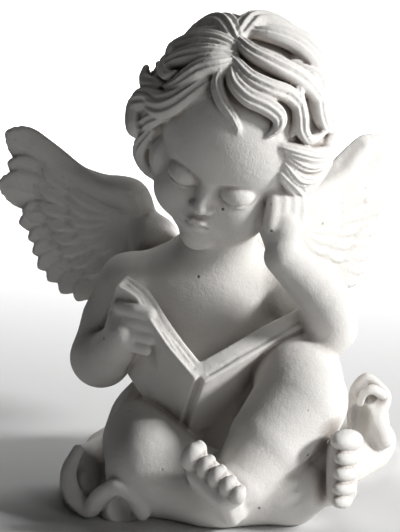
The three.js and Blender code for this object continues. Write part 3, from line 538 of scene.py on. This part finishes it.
def lock(points, width, thick):
    """A lock of hair through points like those above, thin at its root and its tip."""
    path = []
    for side, back, up, lift in smooth(points, 4):
        path.append(on_head(HAIR + unit((side, back, up)) * HAIR_RADII * (1 + lift / 10)))
    middle = on_head(HAIR)

    def swell(t):
        return math.sin(math.pi * (0.18 + 0.74 * t))

    def hairs(t, v):
        """Shallow grooves run down the lock."""
        return 0.82 + 0.18 * np.cos(2 * math.pi * 1.5 * v)

    return strand(path, lambda t: width * swell(t), lambda t: thick * (0.4 + 0.6 * swell(t)),
                  lambda point: unit(point - middle), hairs)


def around(azimuth, elevation):
    """The direction at those angles, 10 long like those above: 0, 0 is the brow and 90, 0 the left ear."""
    a, e = math.radians(azimuth), math.radians(elevation)
    return math.sin(a) * math.cos(e) * 10, -math.cos(a) * math.cos(e) * 10, math.sin(e) * 10


def add_hair(clay):
    clay.add([head_egg((0, 10, 9), (47.5, 49, 48)), head_egg((0, 20, -20), (38, 30, 33)),
              head_egg((-38, 0, -6), (20, 22, 22)), head_egg((-33, -18, -14), (8, 12, 14))], 4)
    for points, width, thick in COMBED:
        clay.add(lock(points, width, thick), 0.9)
    # Tiers of locks fall from the crown round the sides and the back, each swaying as it falls. A tier has
    # a count of locks, the elevations at which they start and end, and their lift.
    tiers = ((12, 66, 20, 0.7), (13, 38, -14, 0.7), (13, 8, -48, 0.8))
    for tier, (count, top, foot, lift) in enumerate(tiers):
        for n in range(count):
            azimuth = 84 + 192 * (n + 0.5 * (tier % 2)) / (count - 0.5)
            sway = 9 + 4 * math.sin(2.4 * n + tier)
            points = []
            for t, turn, proud in ((0, 0, 0), (0.35, 1, 1), (0.7, -0.4, 0.9), (1, 0.9, 1.2)):
                points.append((*around(azimuth + sway * turn, top + (foot - top) * t), lift * proud))
            clay.add(lock(points, 8.5, 5.5), 1.2)


# ---------- the wings ----------
# Feathers fan out from the wrist of the wing: the angle of each above the outward direction, its reach and
# its half width. The broad ones at the tip come first.
BROAD = 3
PRIMARIES = ((30, 81, 13), (18.5, 73, 10), (8, 76, 13), (-4, 63, 8), (-10, 66, 8), (-19, 63, 7), (-27, 64, 7),
             (-35, 66, 7), (-43, 66, 7), (-52, 66, 7), (-61, 64, 7), (-70, 63, 7), (-80, 62, 7), (-90, 61, 7),
             (-100, 60, 7))
SECONDARIES = ((25, 55, 7), (13, 54, 7), (1, 52, 7), (-11, 49, 7), (-23, 48, 7), (-35, 48, 6.5),
               (-47, 48, 6.5), (-59, 47, 6.5), (-71, 46, 6.5), (-84, 45, 6.5), (-98, 43, 6.5))
COVERTS = ((20, 35, 6), (4, 34, 6), (-11, 34, 6), (-26, 33, 6), (-41, 32, 6), (-57, 31, 6), (-74, 30, 6),
           (-92, 29, 6))
# Half the thickness of a feather, and how far in front of and behind the primaries the others lie.
PRIMARY_THICK, SMALL_THICK = 3.2, 2.6
SECONDARY_LIFT, COVERT_LIFT = 4, 7.2


def feather(wrist, axes, turn, start, reach, half, thick, lift, lean):
    """A feather with a round tip; it starts that far from the wrist and curves up to its turn in degrees."""
    out, rise, face = axes
    curve = 14  # degrees between its root and its tip
    rounding = 1.1 * half / (reach - start)  # the share of the length that the round tip takes
    path = []
    for t in (0, 0.3, 0.6, *(1 - rounding * (1 - tip) for tip in (0, 0.35, 0.65, 0.85, 0.95, 1))):
        length = start + (reach - start) * t
        angle = math.radians(turn - curve * (1 - t) ** 2)
        point = wrist + out * length * math.cos(angle) + rise * length * math.sin(angle)
        path.append(point + face * lift * (1 - 0.4 * t))
    runs = runs_of(path)
    spans = len(path) - 1

    def width(step):
        t = runs[round(step * spans)] / runs[-1]
        tip = max(t - (1 - rounding), 0) / rounding
        return half * min(0.55 + 0.9 * t, 1) * math.sqrt(max(1 - tip ** 2, 0.03))

    def barbs(t, v):
        """A shaft stands up along the middle, and fine barbs slant away from it."""
        shaft = 0.22 * np.exp(-(v / 0.12) ** 2)
        slant = 0.05 * np.sin(2 * math.pi * (t * 16 - np.abs(v) * 1.3))
        return 0.88 + shaft * (t < 0.93) + slant * (np.abs(v) > 0.15)

    # Feathers overlap like tiles: each leans on the next, so that one long edge stands proud.
    beside = rise * math.cos(math.radians(turn)) - out * math.sin(math.radians(turn))
    leaning = unit(face + beside * lean)
    return strand(path, width, lambda step: thick * (1 - 0.25 * step), lambda point: leaning, barbs, 2)


def add_wing(clay, root, wrist, out, spread):
    """A wing from its root over its wrist; spread is how far its broad feathers are stretched out."""
    root, wrist, out = np.array(root, float), np.array(wrist, float), unit(out)
    rise = unit(np.array((0, 0, 1)) - out * out[2])
    face = unit(np.cross(out, rise))
    axes = out, rise, face
    for n, (turn, reach, half) in enumerate(PRIMARIES):
        reach *= spread if n < BROAD else 1
        clay.add(feather(wrist, axes, turn, 6, reach, half, PRIMARY_THICK, 0, 0.22), 0.8)
    for side in SIDES:
        for turn, reach, half in SECONDARIES:
            row = feather(wrist, axes, turn, 4, reach, half, SMALL_THICK, side * SECONDARY_LIFT, side * 0.3)
            clay.add(row, 0.8)
        for turn, reach, half in COVERTS:
            row = feather(wrist, axes, turn, 2, reach, half, SMALL_THICK, side * COVERT_LIFT, side * 0.3)
            clay.add(row, 0.8)
    # The bare leading edge, from the shoulder over the wrist to the tip, thins as it goes.
    edge = ((-8, -6, 10), (-3, 7, 10), (4, 10.5, 9.2), (17, 13, 7.6), (38, 22, 5.6), (46, 30, 5),
            (54, 37, 4.6))
    clay.add(rope([(*root, 12)] + [(*(wrist + out * o + rise * r), radius) for o, r, radius in edge]), 3)
    clay.add([egg(root + (wrist - root) * 0.6 + (0, 0, -26), (15, 5, 30))], 4)
    clay.add(limb([(*root, 13), (*(root + (0, -4, -34)), 11)]), 6)


# ---------- the cloth that the sitter sits on ----------
def add_cloth(clay):
    clay.add([egg((8, -4, -3), (78, 66, 15))], 6)
    # On the right: a thick roll, and in front of it a cupped edge that winds over an arch.
    clay.add(rope([(-54, 24, 6, 13), (-68, -2, 7, 12.5), (-68, -34, 8, 13), (-63, -48, 4, 12.5)]), 5)
    clay.add(rope([(-45, -61, 7, 13), (-46, -46, 6, 13), (-50, -20, 6, 12)]), 3)
    clay.cut([egg((-64, -52, 27), (7, 9, 13))], 2)
    clay.cut([egg((-46, -80, 7), (8, 12, 11))], 1)
    rim = [(-70, -40, 31, 3.5), (-75, -51, 22, 4.4), (-72, -60, 12, 5), (-63, -68, 6.5, 5), (-57, -72, 15, 5),
           (-47, -76, 22.5, 5), (-38, -77, 18, 5), (-33, -77, 8, 4.6)]
    clay.add(rope(rim), 2)
    # On the left: a fold that stands up, hollow below, with a lip curled over it.
    leaning = (unit((1, 0, 0.12)), (0, 1, 0), unit((-0.12, 0, 1)))
    clay.add([egg((99, 28, 26), (12.5, 17, 28), leaning)], 6)
    hem = [(84, 4, 6, 13), (101, 30, 8, 13), (102, 58, 6, 12.5), (70, 68, 6, 12), (20, 66, 8, 12),
           (-38, 56, 7, 12), (-58, 32, 6, 12)]
    clay.add(rope(hem), 5)
    clay.cut([egg((93, 10, 31), (6.5, 17, 10))], 2)
    ridge = [(91, 21, 48, 3.4), (97, 22, 54, 3.6), (103, 21, 50, 3.6), (108, 20, 43, 4), (104, 16, 32, 4.5),
             (107, 12, 20, 6)]
    clay.add(rope(ridge), 4)
    lip = [(93, 13, 42, 2.2), (95, 10, 49, 2.6), (100, 9.5, 51.5, 3), (106, 13, 47, 3)]
    clay.add(rope(lip), 2)


def model_statue():
    clay = Clay(SPACE, GRID)
    for add_to in (add_torso, add_right_leg, add_left_leg, add_cloth, add_right_arm, add_left_arm, add_book,
                   add_right_hand, add_face, add_left_hand, add_hair):
        add_to(clay)
    add_wing(clay, (-27, 32, 136), (-43, 42, 152), (-0.97, 0.22, 0), 1.03)
    add_wing(clay, (28, 32, 134), (50, 41, 146), (0.86, 0.51, 0), 0.97)
    return clay


# ---------- from the clay to the piece ----------
def largest_of(points, faces):
    """Leaves out loose crumbs and sealed hollows, which are surfaces of their own."""
    label = np.arange(len(points))
    starts, ends = faces.ravel(), np.roll(faces, -1, axis=1).ravel()
    while True:
        before = label.copy()
        least = np.minimum(label[starts], label[ends])
        np.minimum.at(label, label[starts], least)
        np.minimum.at(label, label[ends], least)
        while not np.array_equal(label, label[label]):
            label = label[label]
        if np.array_equal(before, label):
            break
    biggest = np.bincount(label[faces[:, 0]]).argmax()
    kept = faces[label[faces[:, 0]] == biggest]
    used, renumbered = np.unique(kept, return_inverse=True)
    return points[used], renumbered.reshape(kept.shape)


def new_object(name, points, faces):
    mesh = bpy.data.meshes.new(name)
    sides = faces.shape[1]
    mesh.vertices.add(len(points))
    mesh.vertices.foreach_set("co", np.asarray(points, np.float32).ravel())
    mesh.loops.add(faces.size)
    mesh.loops.foreach_set("vertex_index", faces.astype(np.int32).ravel())
    mesh.polygons.add(len(faces))
    mesh.polygons.foreach_set("loop_start", np.arange(0, faces.size, sides, dtype=np.int32))
    mesh.update(calc_edges=True)
    piece = bpy.data.objects.new(name, mesh)
    bpy.context.scene.collection.objects.link(piece)
    return piece


def vertices_of(mesh):
    points = np.empty(len(mesh.vertices) * 3, np.float32)
    mesh.vertices.foreach_get("co", points)
    return points.reshape(-1, 3).astype(float)


def simplified(piece, faces):
    """Collapses edges until that many triangles are left."""
    share = faces / sum(len(polygon.vertices) - 2 for polygon in piece.data.polygons)
    if share < 1:
        decimate = piece.modifiers.new("simplify", "DECIMATE")
        decimate.ratio = share
        with bpy.context.temp_override(object=piece, active_object=piece):
            bpy.ops.object.modifier_apply(modifier=decimate.name)
    return piece


def frame_fit(points):
    """The step from the clay's millimetres to the frame's metres: the same height, over the same floor."""
    low, high = points.min(0), points.max(0)
    cad_low, cad_high = np.array(CAD_BOX)
    scale = (cad_high[2] - cad_low[2]) / (high[2] - low[2])
    foot = np.array(((low[0] + high[0]) / 2, (low[1] + high[1]) / 2, low[2]))
    cad_foot = np.array(((cad_low[0] + cad_high[0]) / 2, (cad_low[1] + cad_high[1]) / 2, cad_low[2]))
    return lambda place: (np.asarray(place, float) - foot) * scale + cad_foot


def sheltered(clay, points, normals):
    """How far hidden each point is, from 0 in the open to 1 in a hollow, by how near the clay is ahead."""
    hidden = np.zeros(len(points))
    for reach, share in ((1.5, 0.3), (4, 0.4), (10, 0.3)):
        ahead = clay.at(points + normals * reach)
        hidden += share * np.clip(1 - ahead / reach, 0, 1)
    return hidden


def build_statue():
    clay = model_statue()
    points, quads = skin_of(clay)
    points[:, 2] = np.maximum(points[:, 2], 0)
    points, quads = largest_of(points, quads)
    piece = simplified(new_object("statue", points, quads), FACES)
    mesh = piece.data
    points = vertices_of(mesh)
    normals = np.empty(len(points) * 3, np.float32)
    mesh.vertices.foreach_get("normal", normals)
    # How sheltered each point is: the finish paints both shade and dirt into the sheltered places.
    hidden = sheltered(clay, points, normals.reshape(-1, 3))
    mesh.attributes.new("hidden", "FLOAT", "POINT").data.foreach_set("value", hidden.astype(np.float32))
    to_frame = frame_fit(points)
    mesh.vertices.foreach_set("co", to_frame(points).astype(np.float32).ravel())
    mesh.polygons.foreach_set("use_smooth", np.ones(len(mesh.polygons), bool))
    mesh.update()
    return piece, to_frame


# ---------- shader maths ----------
class Value:
    """A socket whose value can be reckoned with: operators add Math nodes, and node() adds any other node."""

    def __init__(self, tree, socket=None):
        self.tree = tree
        self.socket = socket

    def node(self, kind, settings=None, inputs=None, output=0):
        node = self.tree.nodes.new(kind)
        for name, setting in (settings or {}).items():
            setattr(node, name, setting)
        for name, given in (inputs or {}).items():
            if isinstance(given, Value):
                self.tree.links.new(given.socket, node.inputs[name])
            else:
                node.inputs[name].default_value = given
        return Value(self.tree, node.outputs[output] if node.outputs else None)

    def maths(self, operation, first, second):
        return self.node("ShaderNodeMath", {"operation": operation}, {0: first, 1: second})

    def __add__(self, other):
        return self.maths("ADD", self, other)

    def __radd__(self, other):
        return self.maths("ADD", other, self)

    def __sub__(self, other):
        return self.maths("SUBTRACT", self, other)

    def __rsub__(self, other):
        return self.maths("SUBTRACT", other, self)

    def __mul__(self, other):
        return self.maths("MULTIPLY", self, other)

    def __rmul__(self, other):
        return self.maths("MULTIPLY", other, self)

    def between(self, low, high):
        """0 up to low, 1 from high on, and a straight rise from one to the other."""
        return self.node("ShaderNodeMapRange", {}, {"Value": self, "From Min": low, "From Max": high})

    def mix(self, factor, first, second):
        """Colour first turned into colour second by factor."""
        return self.node("ShaderNodeMix", {"data_type": "RGBA"}, {0: factor, 6: first, 7: second}, 2)


def new_material(name):
    material = bpy.data.materials.new(name)
    material.use_nodes = True
    material.node_tree.nodes.clear()
    return material, Value(material.node_tree)


# ---------- the finish: pale cast stone, with dirt and painted shade darkening its hollows ---
def cast_stone():
    material, sheet = new_material("cast_stone")
    place = sheet.node("ShaderNodeTexCoord", output="Object")

    def noise(scale, detail):
        return sheet.node("ShaderNodeTexNoise", {}, {"Vector": place, "Scale": scale, "Detail": detail})

    def pits(scale, share, size):
        """Pinholes: 1 in the middle of each, in that share of the cells."""
        inputs = {"Vector": place, "Scale": scale}
        near = sheet.node("ShaderNodeTexVoronoi", {}, inputs, "Distance")
        cell_colour = sheet.node("ShaderNodeTexVoronoi", {}, inputs, "Color")
        pick = sheet.node("ShaderNodeSeparateColor", {}, {"Color": cell_colour})
        return pick.between(1 - share, 1 - share + 0.01) * (1 - near.between(size * 0.5, size))

    hidden = sheet.node("ShaderNodeAttribute", {"attribute_name": "hidden"}, output="Fac")
    clouds = noise(22, 3)
    grain = noise(900, 2)
    sand = noise(2600, 2)
    pinholes = pits(150, 0.05, 0.16)
    # Dirt and painted shade: sheltered hollows turn darker and browner, broken up by noise.
    dirt_and_shade = (hidden + clouds * 0.5 + grain * 0.25 - 0.42).between(0.12, 0.75)
    pale = sheet.mix(clouds.between(0.35, 0.68), (0.71, 0.69, 0.66, 1), (0.79, 0.77, 0.74, 1))
    sandy = sheet.mix(sand.between(0.45, 0.75) * 0.35, pale, (0.56, 0.53, 0.5, 1))
    dirty_and_shaded = sheet.mix(dirt_and_shade * 0.72, sandy, (0.25, 0.2, 0.17, 1))
    # Painted shade: the pinholes are coloured near black, standing in for the shade inside them.
    colour = sheet.mix(pinholes * 0.85, dirty_and_shaded, (0.06, 0.05, 0.045, 1))
    # How high each roughness of the surface stands, in metres.
    height = grain * 0.00022 + sand * 0.00012 - pinholes * 0.0007 + noise(230, 3) * 0.0004
    bump = sheet.node("ShaderNodeBump", {}, {"Height": height, "Strength": 0.8, "Distance": 1})
    roughness = 0.72 + grain * 0.2
    inputs = {"Base Color": colour, "Roughness": roughness, "Specular IOR Level": 0.3, "Normal": bump}
    surface = sheet.node("ShaderNodeBsdfPrincipled", {}, inputs)
    sheet.node("ShaderNodeOutputMaterial", {}, {"Surface": surface})
    return material


def pale_paint(name, colour):
    material, sheet = new_material(name)
    surface = sheet.node("ShaderNodeBsdfPrincipled", {}, {"Base Color": colour, "Roughness": 0.9})
    sheet.node("ShaderNodeOutputMaterial", {}, {"Surface": surface})
    return material


# ---------- the studio ----------
WIDE = 180  # the spread in degrees of a light that shines every way ahead of it


def add_camera(aim):
    """A long lens, low in front of the statue."""
    distance = 1.35
    field = 0.3006  # height of what the picture takes in at that distance
    elevation = math.radians(15)
    away = Vector((0, -math.cos(elevation), math.sin(elevation)))
    camera = bpy.data.cameras.new("camera")
    camera.sensor_fit = "VERTICAL"
    camera.sensor_height = 24
    camera.lens = camera.sensor_height * distance / field
    holder = bpy.data.objects.new("camera", camera)
    holder.location = Vector(aim) + away * distance
    holder.rotation_euler = (-away).to_track_quat("-Z", "Y").to_euler()
    bpy.context.scene.collection.objects.link(holder)
    bpy.context.scene.camera = holder


def add_floor():
    """A pale floor that sweeps up behind the statue into a wall."""
    half, back, radius, top = 4, 2.2, 1.2, 4
    steps = 12
    profile = [(-half, 0), (back, 0)]
    for i in range(1, steps + 1):
        angle = math.pi / 2 * i / steps
        profile.append((back + radius * math.sin(angle), radius * (1 - math.cos(angle))))
    profile.append((back + radius, top))
    points = [(x, y, z) for y, z in profile for x in (-half, half)]
    quads = [(2 * i, 2 * i + 1, 2 * i + 3, 2 * i + 2) for i in range(len(profile) - 1)]
    floor = new_object("floor", points, np.array(quads))
    floor.data.polygons.foreach_set("use_smooth", np.ones(len(quads), bool))
    floor.data.materials.append(pale_paint("pale_floor", (0.7, 0.7, 0.7, 1)))


def add_light(name, place, size, watts, aim, spread=WIDE):
    """A round soft light."""
    light = bpy.data.lights.new(name, "AREA")
    light.shape = "DISK"
    light.size = size
    light.energy = watts
    light.spread = math.radians(spread)
    holder = bpy.data.objects.new(name, light)
    holder.location = place
    holder.rotation_euler = (Vector(aim) - Vector(place)).to_track_quat("-Z", "Y").to_euler()
    bpy.context.scene.collection.objects.link(holder)


def add_studio():
    """A strong light low at the left hand, a weak one in front, and one for the floor behind the statue."""
    add_floor()
    middle = (0, 0, 0.15)
    add_light("key", (1.75, -0.45, 0.85), 0.4, 48, middle)
    add_light("front", (1.0, -1.5, 0.8), 0.8, 3.5, middle)
    add_light("backdrop", (0, 1.4, 1.5), 1, 24, (0, 1.35, 0), 85)
    world = bpy.data.worlds.new("pale_room")
    world.use_nodes = True
    background = world.node_tree.nodes["Background"]
    background.inputs["Color"].default_value = (1, 1, 1, 1)
    background.inputs["Strength"].default_value = 0.01
    bpy.context.scene.world = world
    bpy.context.scene.view_settings.view_transform = "Standard"


# ---------- the scene ----------
statue, to_frame = build_statue()
statue.data.materials.append(cast_stone())
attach(statue, "root")
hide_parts("cherub_statue")
add_camera(to_frame(AIM))
add_studio()
